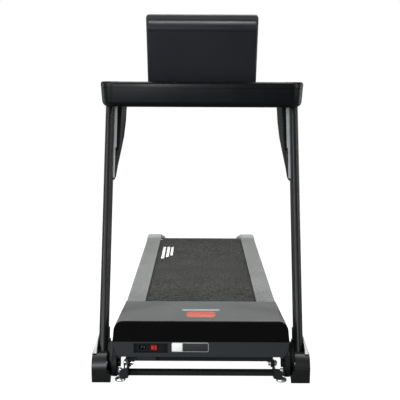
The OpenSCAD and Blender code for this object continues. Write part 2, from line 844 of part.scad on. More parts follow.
// Drive controller: board on a finned heat sink that rests on the two front cross members
module controller() {
    y0 = member_y[0] - 8;
    y1 = member_y[1] + member_w - 2;
    fin_z0 = member_z1 + 0.2;
    sink_z0 = fin_z0 + 10;
    board_z0 = sink_z0 + 12;
    color("#3f6b4f") on_deck() {
        block([60, y0, sink_z0], [220, y1, board_z0 + eps]);
        block([60, y0 + 4, board_z0], [220, y1 - 4, board_z0 + 3]);
        for (i = [0 : 7]) block([70 + i * 19, y0, fin_z0], [74 + i * 19, y1, sink_z0 + eps]);
        block([80, 80, board_z0 + 3 - eps], [110, 110, board_z0 + 26]);
        block([130, 78, board_z0 + 3 - eps], [170, 100, board_z0 + 22]);
        for (y = [120, 150]) translate([195, y, board_z0 + 3 - eps]) cylinder(h = 30, r = 11);
    }
}

// ---- hood ----

// Front outline of the hood: wide at the split, drawn in at the lower corners, rounded on top
module hood_front(g) {
    top = hood_top_front - g;
    x1 = hood_half - g;
    r = 34 - g;
    side_pts = concat([[287 - g, hood_z0], [297 - g, hood_z0 + 8], [304 - g, 124], [x1, hood_split_z]],
        arc(x1 - 4 - r, top - r, r, 0, 90, 10));
    polygon(concat(side_pts, [for (i = [len(side_pts) - 1 : -1 : 0]) [-side_pts[i][0], side_pts[i][1]]]));
}

// Rear outline of the hood
module hood_rear(g) {
    x1 = 299 - g;
    top = hood_top_rear - g;
    side_pts = concat([[x1 - 4, hood_z0], [x1, 130]], arc(x1 - 8, top - 8, 8, 0, 90, 4));
    polygon(concat(side_pts, [for (i = [len(side_pts) - 1 : -1 : 0]) [-side_pts[i][0], side_pts[i][1]]]));
}

module hood_body(g, y0) {
    hull() {
        xz(y0, y0 + 4) hood_front(g);
        xz(hood_l - 1, hood_l) hood_rear(g);
    }
}

module hood_cover() {
    color("#6d7172") placed() difference() {
        union() {
            hood_body(0, hood_joint_y + 0.3);
            // lip over the front ends of the side rails
            xz(hood_l - eps, hood_l + 25) polygon([[-298, 183.8], [298, 183.8], [296, 189], [-296, 189]]);
        }
        hood_body(hood_wall, hood_joint_y - 4);
        // open underside and rear
        block([-hood_half, 0, 60], [hood_half, 400, hood_z0 + 0.2]);
        block([-290, hood_l - 6, 60], [290, hood_l + 1, 183.2]);
        // the side rails and the running surface pass under the rear edge
        block([-deck_half - 0.7, deck_start - 0.5, 60], [deck_half + 0.7, hood_l + 1, 184.2]);
    }
}

// Shallow tray that forms the hood's nose between two heights, open at the rear
module nose_tray(z0, z1) {
    intersection() {
        difference() {
            xz(hood_face_y, hood_joint_y) hood_front(0);
            xz(hood_face_y + hood_wall, hood_joint_y + 1) hood_front(hood_wall);
        }
        block([-hood_half - 1, 0, z0], [hood_half + 1, 20, z1]);
    }
}

module front_panel() {
    color("#0c0c0d") placed() difference() {
        nose_tray(hood_split_z + 0.3, 300);
        // counterbores of the screws
        for (x = hood_screw_x) translate([x, 3, hood_screw_z]) rotate([90, 0, 0])
            cylinder(h = 4, r = hood_screw_r + 0.3);
    }
}

module lower_panel() {
    color("#38383a") placed() {
        difference() {
            nose_tray(hood_z0, hood_split_z);
            block([socket_x[0], -1, socket_z[0]], [socket_x[1], 20, socket_z[1]]);
        }
        // belly pan with slots for the lugs and notches over the ears and feet
        difference() {
            block([-belly_half, hood_face_y + hood_wall - eps, hood_z0], [belly_half, hood_l - 8, hood_z0 + 3]);
            both() block([lug_x0 - 4, 46, hood_z0 - 1], [lug_x1 + 4, 118, hood_z0 + 4]);
            both() block([notch_x0, hood_face_y + hood_wall + 0.1, hood_z0 - 1],
                [belly_half + 1, notch_y1, hood_z0 + 4]);
        }
        // hanging tab under the sockets
        block([-224, 14, 83], [-159, 20, hood_z0 + eps]);
    }
}

// Recessed tray that carries the inlet, the switch and the breaker
module socket_panel() {
    w = socket_x[1] - socket_x[0];
    h = socket_z[1] - socket_z[0];
    color("#17181a") placed() difference() {
        translate([socket_x[0] + 0.3, 2.4, socket_z[0] + 0.3]) cube([w - 0.6, 16, h - 0.6]);
        translate([socket_x[0] + 2.5, 2, socket_z[0] + 2.5]) cube([w - 5, socket_y - 2, h - 5]);
        block([inlet_x - 15, 0, sockets_z - 11], [inlet_x + 15, 30, sockets_z + 11]);
        block([switch_x - 13, 0, sockets_z - 9.6], [switch_x + 13, 30, sockets_z + 9.6]);
        translate([reset_x, 0, sockets_z]) rotate([-90, 0, 0]) cylinder(h = 30, r = 4.3);
        // bearings of the rocker's pin
        translate([switch_x, switch_pin_y, sockets_z]) cylinder(h = 22, r = switch_pin_r + fit, center = true);
    }
}

// Mains inlet with a rectangular cavity for the lead's connector
module power_inlet() {
    color("#0f1012") placed() difference() {
        union() {
            block([inlet_x - 18, socket_y - 2, sockets_z - 13], [inlet_x + 18, socket_y - 0.1, sockets_z + 13]);
            block([inlet_x - 14.8, socket_y - 0.2, sockets_z - 10.8], [inlet_x + 14.8, 34, sockets_z + 10.8]);
        }
        xz(0, 30) polygon([[inlet_x - 12, sockets_z + 8], [inlet_x + 12, sockets_z + 8],
            [inlet_x + 12, sockets_z - 4], [inlet_x + 8, sockets_z - 8], [inlet_x - 8, sockets_z - 8],
            [inlet_x - 12, sockets_z - 4]]);
    }
}

// Rocker with two sloping faces; it turns about a vertical axis behind them
module rocker_switch() {
    color("#c81e1e") placed() translate([switch_x, switch_pin_y, sockets_z]) {
        linear_extrude(18, center = true)
            polygon([[-10.8, -7.5], [0, -8.4], [10.8, -11], [9.4, 0], [0, 5], [-9.4, 0]]);
        cylinder(h = 21.2, r = switch_pin_r, center = true);
    }
}

module reset_button() {
    color("#1a1b1d") placed() translate([reset_x, 5.5, sockets_z]) rotate([-90, 0, 0]) rotate_extrude()
        polygon([[0, 0], [3, 0], [4, 1], [4, 16], [0, 16]]);
}

// Screws along the lower edge of the front panel
module hood_screws() {
    color("#2a2b2d") placed() {
        for (x = hood_screw_x) translate([x, 2.95, hood_screw_z]) rotate([90, 0, 0])
            cylinder(h = 1.05, r = hood_screw_r);
    }
}

// ---- gas strut ----

// The strut's own frame: Z along the strut from its lower pivot
module on_strut() {
    placed() translate([-strut_x, strut_base[0], strut_base[1]]) rotate([strut_angle - 90, 0, 0]) children();
}

module strut_cylinder() {
    color("#1a1a1c") on_strut() {
        difference() {
            union() {
                translate([0, 0, 14]) cylinder(h = 300, r = 9);
                translate([-6, 0, 0]) rotate([0, 90, 0]) cylinder(h = 12, r = 10);
                translate([0, 0, 6]) cylinder(h = 10, r = 6);
            }
            translate([-10, 0, 0]) rotate([0, 90, 0]) cylinder(h = 20, r = 4 + fit);
            translate([0, 0, 60]) cylinder(h = 240, r = 7.5);
            translate([0, 0, 290]) cylinder(h = 30, r = 4 + fit);
        }
    }
}

module strut_rod() {
    color("#c4c8cc") on_strut() difference() {
        union() {
            translate([0, 0, 200]) cylinder(h = strut_len - 200 - strut_open_r - 1, r = 4);
            translate([0, 0, 200]) cylinder(h = 6, r = 7.45);
            translate([-5, 0, strut_len]) rotate([0, 90, 0]) cylinder(h = 10, r = strut_open_r + 5);
        }
        translate([-6, 0, strut_len]) rotate([0, 90, 0]) cylinder(h = 12, r = strut_open_r);
    }
}

// Clevis behind the front crossbar, with its pin
module strut_base_bracket() {
    y0 = crossbar_y1 + 0.2;
    color("#2a2c30") placed() {
        for (x = [-strut_x - 10, -strut_x + 7]) difference() {
            yz(x, x + 3) polygon(concat([[y0, 44], [y0, 8]], arc(strut_base[0], strut_base[1], 11, -90, 90, 10)));
            x_rod(strut_base[0], strut_base[1], 4 + fit, x - 1, x + 4);
        }
        block([-strut_x - 10, y0, 8], [-strut_x + 10, y0 + 3, 22]);
        x_rod(strut_base[0], strut_base[1], 4, -strut_x - 13, -strut_x + 13);
    }
}

// Hanger under the left frame tube, with the pin of the opened pivot
module strut_deck_bracket() {
    tube_under = deck_z0 - strut_top[0] * tan(deck_slope) + tube_z0;
    color("#2a2c30") placed() {
        difference() {
            yz(-strut_x + 8, -strut_x + 12)
                polygon(concat([[615, tube_under], [665, tube_under - 0.3]],
                    arc(strut_top[0], strut_top[1], 10, 0, -180, 10)));
            x_rod(strut_top[0], strut_top[1], 5 - fit, -strut_x + 7, -strut_x + 13);
        }
        x_rod(strut_top[0], strut_top[1], 5, -strut_x - 6, -strut_x + 12);
    }
}

base_rail_left();
base_rail_right();
base_crossbars();
pivot_ears();
levelling_feet();
base_cover_left();
base_cover_right();
inner_covers();
side_fins();
upright_left();
upright_right();
frame_bolts();
wheel_left();
wheel_right();
wheel_axles();
console_bar();
handrail_left();
handrail_right();
handrail_strips();
pulse_sensors();
console_housing();
console_face();
display_lens();
start_button();
stop_button();
speed_up_button();
speed_down_button();
key_socket();
safety_key();
deck_front_tube();
frame_tubes();
cross_members();
deck_board();
deck_cushions();
running_belt();
front_roller();
roller_pulley();
rear_roller();
roller_axles();
side_rail_left();
side_rail_right();
end_cap_left();
end_cap_right();
rear_feet();
motor();
motor_rotor();
drive_belt();
controller();
hood_cover();
front_panel();
lower_panel();
socket_panel();
power_inlet();
rocker_switch();
reset_button();
hood_screws();
strut_cylinder();
strut_rod();
strut_base_bracket();
strut_deck_bracket();
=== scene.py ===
"""The looks of a folding treadmill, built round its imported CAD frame. Metres, +Z up, +Y from hood to rear."""
import json
import math

import bmesh
import bpy
from mathutils import Matrix, Vector


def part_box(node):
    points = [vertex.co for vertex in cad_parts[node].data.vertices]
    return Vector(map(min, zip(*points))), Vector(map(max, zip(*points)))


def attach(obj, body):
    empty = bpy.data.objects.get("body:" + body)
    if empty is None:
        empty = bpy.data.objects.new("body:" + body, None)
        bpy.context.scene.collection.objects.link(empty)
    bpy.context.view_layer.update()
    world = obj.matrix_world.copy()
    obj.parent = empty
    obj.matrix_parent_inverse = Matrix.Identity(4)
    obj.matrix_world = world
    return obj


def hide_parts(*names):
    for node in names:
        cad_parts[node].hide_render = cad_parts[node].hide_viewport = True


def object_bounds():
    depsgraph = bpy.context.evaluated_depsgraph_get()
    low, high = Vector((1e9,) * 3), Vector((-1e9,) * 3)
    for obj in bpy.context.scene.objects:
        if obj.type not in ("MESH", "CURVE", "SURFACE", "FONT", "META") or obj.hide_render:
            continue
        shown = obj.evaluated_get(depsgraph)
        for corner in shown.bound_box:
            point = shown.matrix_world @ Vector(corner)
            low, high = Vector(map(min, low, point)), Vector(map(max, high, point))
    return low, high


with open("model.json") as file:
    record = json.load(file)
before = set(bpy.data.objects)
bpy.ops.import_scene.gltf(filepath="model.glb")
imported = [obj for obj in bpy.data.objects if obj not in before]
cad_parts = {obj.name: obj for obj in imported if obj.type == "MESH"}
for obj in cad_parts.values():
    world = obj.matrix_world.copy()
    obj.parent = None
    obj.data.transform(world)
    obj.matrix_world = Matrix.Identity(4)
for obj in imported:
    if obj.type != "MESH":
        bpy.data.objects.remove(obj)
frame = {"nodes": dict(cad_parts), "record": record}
cad_low, cad_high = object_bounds()

# ---------------------------------------------------------------- the CAD's own measures, in millimetres
MM = 0.001
LENGTH = (cad_high.y - cad_low.y) / MM
DECK_SLOPE = math.radians(0.4)
DECK_Z = 185.8
CONSOLE_TILT = math.radians(21)
CONSOLE_FOOT_Y = 375
HOOD_FRONT_Y, HOOD_RUN = 12, 340
HOOD_FRONT_Z, HOOD_REAR_Z = 226, 190
BAR_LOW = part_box("console_bar")[0].z / MM
BAR_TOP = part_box("console_bar")[1].z / MM
BAR_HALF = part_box("console_bar")[1].x / MM
BAR_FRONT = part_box("console_bar")[0].y / MM + LENGTH / 2
UPRIGHT_LEAN = math.radians(20.7)
UPRIGHT_FOOT = (92, 91)  # a point of the uprights' centre line, Y and Z
UPRIGHT_DEPTH = 74

# ---------------------------------------------------------------- settings of the finishes and edges
FINE_DETAIL = 3
SLOW_SCALE, SLOW_DETAIL = 7, 5
SLOW_MIN, SLOW_MAX = 0.3, 0.7
SMOOTHEST = 0.03
RELIEF_DEPTH = 0.0004
COAT_ROUGHNESS = 0.1
PAINT_BLACK = (0.012, 0.012, 0.013, 1)
WHITE = (1, 1, 1, 1)
BACKDROP_SEEN, BACKDROP_GLOW = 1.0, 0.16
FLOOR_SEEN, FLOOR_GLOW = 0.985, 0.14
PIECE_SMOOTH, NODE_SMOOTH, BEVEL_FROM = 32, 34, 38  # degrees
FINISH = {}


# ---------------------------------------------------------------- frames
def floor_frame(x, y, z):
    """X across, Y back from the front of the base covers, Z up from the floor."""
    return Vector((x, y - LENGTH / 2, z)) * MM


def deck_frame(x, y, z):
    """Y along the deck, Z from the plane of the side rails' tops."""
    c, s = math.cos(DECK_SLOPE), math.sin(DECK_SLOPE)
    return floor_frame(x, y * c + z * s, DECK_Z - y * s + z * c)


def console_frame(x, y, z):
    """Z up the slope of the console, Y through it towards the user."""
    c, s = math.cos(CONSOLE_TILT), math.sin(CONSOLE_TILT)
    return floor_frame(x, CONSOLE_FOOT_Y + y * c - z * s, BAR_TOP + y * s + z * c)


def on_hood(z, x, y):
    """Place for a pillow on the hood's sloping top, with Y back from the front of the covers."""
    return floor_frame(x, y, HOOD_FRONT_Z + (HOOD_REAR_Z - HOOD_FRONT_Z) * (y - HOOD_FRONT_Y) / HOOD_RUN + z)


def on_belt(z, x, y):
    """Place for a pillow that lies on the deck."""
    return deck_frame(x, y, z)


def on_front(y, x, z):
    """Place for a pillow on an upright front face."""
    return floor_frame(x, y, z)


def on_console(y, x, z):
    """Place for a pillow on the console's back or face."""
    return console_frame(x, y, z)


# ---------------------------------------------------------------- outlines
def arc(cu, cv, r, a0, a1, n=8):
    """Points of an arc about (cu, cv) from angle a0 to a1, in degrees."""
    angles = [math.radians(a0 + (a1 - a0) * i / n) for i in range(n + 1)]
    return [(cu + r * math.cos(a), cv + r * math.sin(a)) for a in angles]


def rounded_box(u0, u1, v0, v1, r, n=6):
    """Rectangle with rounded corners."""
    return (arc(u1 - r, v1 - r, r, 0, 90, n) + arc(u0 + r, v1 - r, r, 90, 180, n)
            + arc(u0 + r, v0 + r, r, 180, 270, n) + arc(u1 - r, v0 + r, r, 270, 360, n))


def centred_box(u, v, half_u, half_v, r, n=6):
    """Rectangle with rounded corners about its centre."""
    return rounded_box(u - half_u, u + half_u, v - half_v, v + half_v, r, n)


def inset(outline, distance):
    """Closed outline moved inward by distance along the bisectors of its corners."""
    sharpest = 0.35  # keeps a point near a sharp corner from running away
    count = len(outline)
    area = sum(outline[i - 1][0] * outline[i][1] - outline[i][0] * outline[i - 1][1] for i in range(count))
    side = 1 if area > 0 else -1
    moved = []
    for i in range(count):
        before, here, after = (Vector(outline[j % count]) for j in (i - 1, i, i + 1))
        d0, d1 = (here - before).normalized(), (after - here).normalized()
        n0, n1 = Vector((-d0.y, d0.x)) * side, Vector((-d1.y, d1.x)) * side
        bisector = n0 + n1
        moved.append(tuple(here + bisector * (distance / max(sharpest, bisector.length_squared / 2))))
    return moved


def rim(radius, steps):
    """Rounded rim from the side wall to the end face: pairs of distance from the end and inset."""
    angles = [math.radians(90 * i / steps) for i in range(steps + 1)]
    return [(radius * (1 - math.sin(a)), radius * (1 - math.cos(a))) for a in angles]


# ---------------------------------------------------------------- meshes
def loft(bm, rings):
    """Close a stack of rings of equal length into a solid."""
    rows = [[bm.verts.new(point) for point in ring] for ring in rings]
    count = len(rows[0])
    for low, high in zip(rows, rows[1:]):
        for i in range(count):
            bm.faces.new((low[i], low[(i + 1) % count], high[(i + 1) % count], high[i]))
    bm.faces.new(rows[0][::-1])
    bm.faces.new(rows[-1])


def pillow(bm, outline, low, high, rounding, place, steps=4):
    """Solid between low and high along an axis, with both of its rims rounded; place(t, u, v) gives the point."""
    curve = rim(rounding, steps)
    stations = [(low + t, d) for t, d in reversed(curve)] + [(high - t, d) for t, d in curve]
    loft(bm, [[place(t, u, v) for u, v in inset(outline, d)] for t, d in stations])


def make_piece(name, bm, material):
    """Object with a finish and smooth shading from a finished mesh."""
    mesh = bpy.data.meshes.new(name)
    bmesh.ops.remove_doubles(bm, verts=bm.verts, dist=1e-7)
    bmesh.ops.recalc_face_normals(bm, faces=bm.faces)
    bm.to_mesh(mesh)
    bm.free()
    obj = bpy.data.objects.new(name, mesh)
    bpy.context.scene.collection.objects.link(obj)
    mesh.materials.append(FINISH[material])
    smooth_by_angle(obj, PIECE_SMOOTH)
    return obj


def cover(piece, node):
    """Show a piece in place of a CAD node of the base."""
    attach(piece, "base")
    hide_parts(node)


def plate(name, material, body, outline, low, high, place, rounding):
    """Thin piece with rounded rims that rides a body."""
    bm = bmesh.new()
    pillow(bm, outline, low, high, rounding, place, 2)
    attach(make_piece(name, bm, material), body)


def angle_group():
    """Node group that shades smooth all edges flatter than an angle."""
    group = bpy.data.node_groups.new("smooth_by_angle", "GeometryNodeTree")
    group.interface.new_socket("Geometry", in_out="INPUT", socket_type="NodeSocketGeometry")
    group.interface.new_socket("Angle", in_out="INPUT", socket_type="NodeSocketFloat")
    group.interface.new_socket("Geometry", in_out="OUTPUT", socket_type="NodeSocketGeometry")
    nodes = group.nodes
    given, result = nodes.new("NodeGroupInput"), nodes.new("NodeGroupOutput")
    edge_angle = nodes.new("GeometryNodeInputMeshEdgeAngle")
    compare = nodes.new("FunctionNodeCompare")
    compare.operation = "LESS_THAN"
    faces, edges = nodes.new("GeometryNodeSetShadeSmooth"), nodes.new("GeometryNodeSetShadeSmooth")
    faces.domain, edges.domain = "FACE", "EDGE"
    join(group,
         (edge_angle, "Unsigned Angle", compare, 0),
         (given, "Angle", compare, 1),
         (given, "Geometry", faces, "Geometry"),
         (faces, "Geometry", edges, "Geometry"),
         (compare, "Result", edges, "Shade Smooth"),
         (edges, "Geometry", result, "Geometry"))
    return group


def smooth_by_angle(obj, degrees):
    """Smooth shading over all edges flatter than an angle."""
    modifier = obj.modifiers.new("smooth", "NODES")
    modifier.node_group = smooth_group
    modifier["Socket_1"] = math.radians(degrees)


def soften(node, width):
    """Rounded edges on a CAD node."""
    obj = frame["nodes"][node]
    obj.modifiers.new("weld", "WELD").merge_threshold = 1e-5
    bevel = obj.modifiers.new("bevel", "BEVEL")
    bevel.width = width * MM
    bevel.segments = 3
    bevel.limit_method = "ANGLE"
    bevel.angle_limit = math.radians(BEVEL_FROM)
    smooth_by_angle(obj, NODE_SMOOTH)
    obj.modifiers.new("normals", "WEIGHTED_NORMAL").keep_sharp = True


# ---------------------------------------------------------------- materials
def join(tree, *wires):
    """Link sockets: source node, its output, target node, its input."""
    for source, output, target, socket in wires:
        tree.links.new(source.outputs[output], target.inputs[socket])


def add_node(tree, kind, values=(), **settings):
    """New shader node with its settings, and values for its sockets by name or number."""
    node = tree.nodes.new("ShaderNode" + kind)
    for name, value in settings.items():
        setattr(node, name, value)
    for socket, value in dict(values).items():
        node.inputs[socket].default_value = value
    return node


def surface(slot, colour, roughness, metallic=0.0, specular=0.12, grain=900, bump=0.12, wear=0.12,
            stretch=(1, 1, 1), spread=0.07, coat=0.0, contrast=1.0):
    """Procedural finish: fine grain in the bump and the colour, slow variation in colour and roughness."""
    made = FINISH[slot] = bpy.data.materials.new(slot + "_finish")
    made.use_nodes = True
    tree = made.node_tree
    shader = tree.nodes["Principled BSDF"]
    place = add_node(tree, "TexCoord")
    mapping = add_node(tree, "Mapping", {"Scale": stretch})
    fine = add_node(tree, "TexNoise", {"Scale": grain, "Detail": FINE_DETAIL})
    slow = add_node(tree, "TexNoise", {"Scale": SLOW_SCALE, "Detail": SLOW_DETAIL})
    relief = add_node(tree, "Bump", {"Strength": bump, "Distance": RELIEF_DEPTH})
    dark, light = ((*(min(1, c * share) for c in colour), 1) for share in (1 - wear, 1 + wear))
    tint = add_node(tree, "Mix", {"A": dark, "B": light}, data_type="RGBA")
    # colour factor: half of it from each noise, with the fine one stretched about its middle by the contrast
    slow_half = add_node(tree, "Math", {1: 0.5, 2: 0.25 * (1 - contrast)}, operation="MULTIPLY_ADD")
    factor = add_node(tree, "Math", {1: 0.5 * contrast}, operation="MULTIPLY_ADD", use_clamp=True)
    rough = add_node(tree, "MapRange", {"From Min": SLOW_MIN, "From Max": SLOW_MAX,
                                        "To Min": max(SMOOTHEST, roughness - spread),
                                        "To Max": min(1, roughness + spread)})
    join(tree,
         (place, "Object", mapping, "Vector"),
         (mapping, "Vector", fine, "Vector"),
         (place, "Object", slow, "Vector"),
         (fine, "Fac", relief, "Height"),
         (relief, "Normal", shader, "Normal"),
         (fine, "Fac", factor, 0),
         (slow, "Fac", slow_half, 0),
         (slow_half, "Value", factor, 2),
         (factor, "Value", tint, "Factor"),
         (tint, "Result", shader, "Base Color"),
         (slow, "Fac", rough, "Value"),
         (rough, "Result", shader, "Roughness"))
    shader.inputs["Metallic"].default_value = metallic
    shader.inputs["Specular IOR Level"].default_value = specular
    shader.inputs["Coat Weight"].default_value = coat
    shader.inputs["Coat Roughness"].default_value = COAT_ROUGHNESS
    return made


def blacken_outside(material, width):
    """Black paint beyond a distance from the centre plane."""
    tree = material.node_tree
    shader = tree.nodes["Principled BSDF"]
    bare = shader.inputs["Base Color"].links[0].from_socket
    place, split = add_node(tree, "TexCoord"), add_node(tree, "SeparateXYZ")
    size = add_node(tree, "Math", operation="ABSOLUTE")
    beyond = add_node(tree, "Math", {1: width * MM}, operation="GREATER_THAN")
    mix = add_node(tree, "Mix", {"B": PAINT_BLACK}, data_type="RGBA")
    tree.links.new(bare, mix.inputs["A"])
    join(tree,
         (place, "Object", split, "Vector"),
         (split, "X", size, 0),
         (size, "Value", beyond, 0),
         (beyond, "Value", mix, "Factor"),
         (mix, "Result", shader, "Base Color"))


def make_materials():
    """One finish for each material slot of the record, and a few for marks and inlet pins."""
    zinc_edge = 298  # zinc parts further out than this are black
    surface("frame_black", (0.011, 0.0115, 0.012), 0.42, grain=1500)
    surface("upright_black", (0.0035, 0.0038, 0.0042), 0.4, specular=0.2, grain=1600, bump=0.01)
    surface("foot_zinc", (0.72, 0.73, 0.74), 0.3, metallic=0.9, specular=0.5, grain=500, bump=0.06)
    surface("zinc", (0.55, 0.57, 0.59), 0.32, metallic=0.85, specular=0.5, grain=700, bump=0.08)
    blacken_outside(FINISH["zinc"], zinc_edge)
    surface("cover_grey", (0.003, 0.0034, 0.0038), 0.36, specular=0.26, grain=1500, bump=0.02)
    surface("inner_plastic", (0.006, 0.0065, 0.007), 0.5, grain=1100, bump=0.25)
    surface("silver_plastic", (0.32, 0.325, 0.325), 0.42, specular=0.2, grain=2200, bump=0.04)
    surface("wheel_rubber", (0.012, 0.012, 0.013), 0.6, grain=600, bump=0.3)
    surface("bar_plastic", (0.0012, 0.0016, 0.002), 0.34, specular=0.13, grain=1500, bump=0.03)
    surface("strip_steel", (0.3, 0.31, 0.32), 0.45, metallic=0.3, specular=0.3, grain=1200)
    surface("sensor_steel", (0.6, 0.61, 0.62), 0.28, metallic=1.0, specular=0.5, grain=500, stretch=(1, 18, 1))
    surface("console_plastic", (0.0075, 0.0075, 0.0105), 0.5, specular=0.15, grain=1200, bump=0.25)
    surface("face_plastic", (0.03, 0.032, 0.032), 0.38, specular=0.2, grain=1600)
    surface("display_glass", (0.004, 0.005, 0.007), 0.06, specular=0.5, grain=60, bump=0.01, spread=0.02,
            coat=0.5)
    surface("start_green", (0.03, 0.28, 0.07), 0.42)
    surface("stop_red", (0.42, 0.025, 0.02), 0.42)
    surface("key_grey", (0.06, 0.064, 0.07), 0.55)
    surface("key_red", (0.48, 0.035, 0.02), 0.4)
    surface("board_wood", (0.03, 0.026, 0.022), 0.6, grain=90, stretch=(14, 1, 1), wear=0.4, bump=0.2)
    surface("cushion_rubber", (0.02, 0.02, 0.02), 0.75, grain=500, bump=0.3)
    surface("belt_rubber", (0.029, 0.03, 0.0285), 0.78, specular=0.1, grain=140, bump=0.9, wear=0.75,
            contrast=6)
    surface("roller_steel", (0.45, 0.46, 0.47), 0.3, metallic=1.0, specular=0.5, stretch=(30, 1, 1), grain=120)
    surface("pulley_steel", (0.35, 0.36, 0.37), 0.35, metallic=1.0, specular=0.5, stretch=(30, 1, 1), grain=120)
    surface("rail_aluminium", (0.2, 0.205, 0.2), 0.45, metallic=0.35, specular=0.3, stretch=(14, 1, 14),
            grain=120, wear=0.2)
    surface("cap_plastic", (0.245, 0.25, 0.245), 0.5, specular=0.25, grain=1300)
    surface("foot_rubber", (0.015, 0.015, 0.016), 0.75, grain=500, bump=0.35)
    surface("motor_paint", (0.03, 0.03, 0.033), 0.45)
    surface("drive_rubber", (0.01, 0.01, 0.01), 0.7, grain=400, bump=0.4, stretch=(6, 1, 1))
    surface("board_green", (0.03, 0.12, 0.06), 0.4, grain=300, wear=0.3)
    surface("hood_silver", (0.105, 0.108, 0.106), 0.38, metallic=0.1, specular=0.3, grain=2400, bump=0.05)
    surface("gloss_black", (0.001, 0.001, 0.001), 0.12, specular=0.1, grain=40, bump=0.01, spread=0.03)
    surface("panel_plastic", (0.0175, 0.0175, 0.019), 0.55, specular=0.15, grain=1000, bump=0.35)
    surface("socket_plastic", (0.006, 0.006, 0.007), 0.45, grain=1200)
    surface("switch_red", (0.22, 0.004, 0.005), 0.25, specular=0.4, grain=300, bump=0.02)
    surface("screw_black", (0.003, 0.003, 0.003), 0.5, specular=0.05)
    surface("strut_paint", (0.01, 0.01, 0.011), 0.3, specular=0.4)
    surface("strut_chrome", (0.7, 0.71, 0.73), 0.1, metallic=1.0, specular=0.5, stretch=(1, 1, 20), grain=300,
            bump=0.02)
    surface("pin_brass", (0.16, 0.15, 0.12), 0.35, metallic=0.8, specular=0.5, grain=500)
    for slot, colour, roughness in (("label_white", (0.6, 0.6, 0.58), 0.5),
                                    ("label_dark", (0.02, 0.02, 0.022), 0.5),
                                    ("mark_salmon", (0.42, 0.11, 0.08), 0.45),
                                    ("mark_pale", (0.26, 0.27, 0.27), 0.45)):
        surface(slot, colour, roughness, grain=1500, bump=0.05)


# ---------------------------------------------------------------- camera, lights and floor
def make_camera():
    """Camera in front, at about the height of the console bar and looking down a little."""
    place, look_down, roll = (-0.0055, -3.4879, 1.0838), 9.227, 0.25
    data = bpy.data.cameras.new("camera")
    data.sensor_width = 36
    data.lens = 70.65
    camera = bpy.data.objects.new("camera", data)
    camera.location = place
    pitch = Matrix.Rotation(math.radians(90 - look_down), 4, "X")
    camera.rotation_euler = (pitch @ Matrix.Rotation(math.radians(roll), 4, "Z")).to_euler()
    bpy.context.scene.collection.objects.link(camera)
    bpy.context.scene.camera = camera


def make_light(name, place, target, size, power, colour=(1, 1, 1)):
    """Rectangular studio light that faces its target."""
    data = bpy.data.lights.new(name, "AREA")
    data.shape = "RECTANGLE"
    data.size, data.size_y = size
    data.energy = power
    data.color = colour
    light = bpy.data.objects.new(name, data)
    light.location = place
    light.rotation_euler = (Vector(target) - Vector(place)).to_track_quat("-Z", "Y").to_euler()
    bpy.context.scene.collection.objects.link(light)


def floor_paint():
    """Pale floor that glows evenly to the camera and gives only a little light back."""
    paint = surface("floor_paint", (0.12, 0.12, 0.12), 0.9, specular=0.0, bump=0.01, wear=0.02)
    tree = paint.node_tree
    shader = tree.nodes["Principled BSDF"]
    shader.inputs["Emission Color"].default_value = WHITE
    rays = add_node(tree, "LightPath")
    level = add_node(tree, "MapRange", {"To Min": FLOOR_GLOW, "To Max": FLOOR_SEEN})
    join(tree,
         (rays, "Is Camera Ray", level, "Value"),
         (level, "Result", shader, "Emission Strength"))
    return paint


def make_world():
    """Backdrop that is white to the camera and lights the object dimly."""
    world = bpy.context.scene.world = bpy.data.worlds.new("studio")
    world.use_nodes = True
    tree = world.node_tree
    backdrop = tree.nodes["Background"]
    backdrop.inputs["Color"].default_value = WHITE
    backdrop.inputs["Strength"].default_value = BACKDROP_SEEN
    glow = add_node(tree, "Background", {"Color": WHITE, "Strength": BACKDROP_GLOW})
    rays, mix = add_node(tree, "LightPath"), add_node(tree, "MixShader")
    join(tree,
         (rays, "Is Camera Ray", mix, "Fac"),
         (glow, "Background", mix, 1),
         (backdrop, "Background", mix, 2),
         (mix, "Shader", tree.nodes["World Output"], "Surface"))


def make_stage():
    """Backdrop, floor and lights."""
    make_world()
    bpy.ops.mesh.primitive_plane_add(size=60)
    floor = bpy.context.object
    floor.name = "floor"
    floor.data.materials.append(floor_paint())
    make_light("key", (-2.4, -2.4, 1.7), (0, -0.5, 0.4), (0.9, 2.2), 105, (0.97, 1.0, 1.0))
    make_light("fill", (2.6, -1.9, 1.7), (0, -0.4, 0.5), (0.6, 2.0), 55)
    make_light("top", (0, 0.0, 3.2), (0, 0.1, 0), (2.0, 2.0), 150)
    make_light("left_edge", (-2.3, 0.5, 0.9), (-0.35, -0.3, 0.6), (0.8, 2.2), 16)
    make_light("right_edge", (2.3, 0.5, 0.9), (0.35, -0.3, 0.6), (0.8, 2.2), 24)
    make_light("low_front", (-0.75, -3.75, 1.15), (-0.35, -0.86, 0.07), (0.45, 0.7), 62, (0.93, 1.0, 1.0))
    bpy.context.scene.view_settings.view_transform = "Standard"


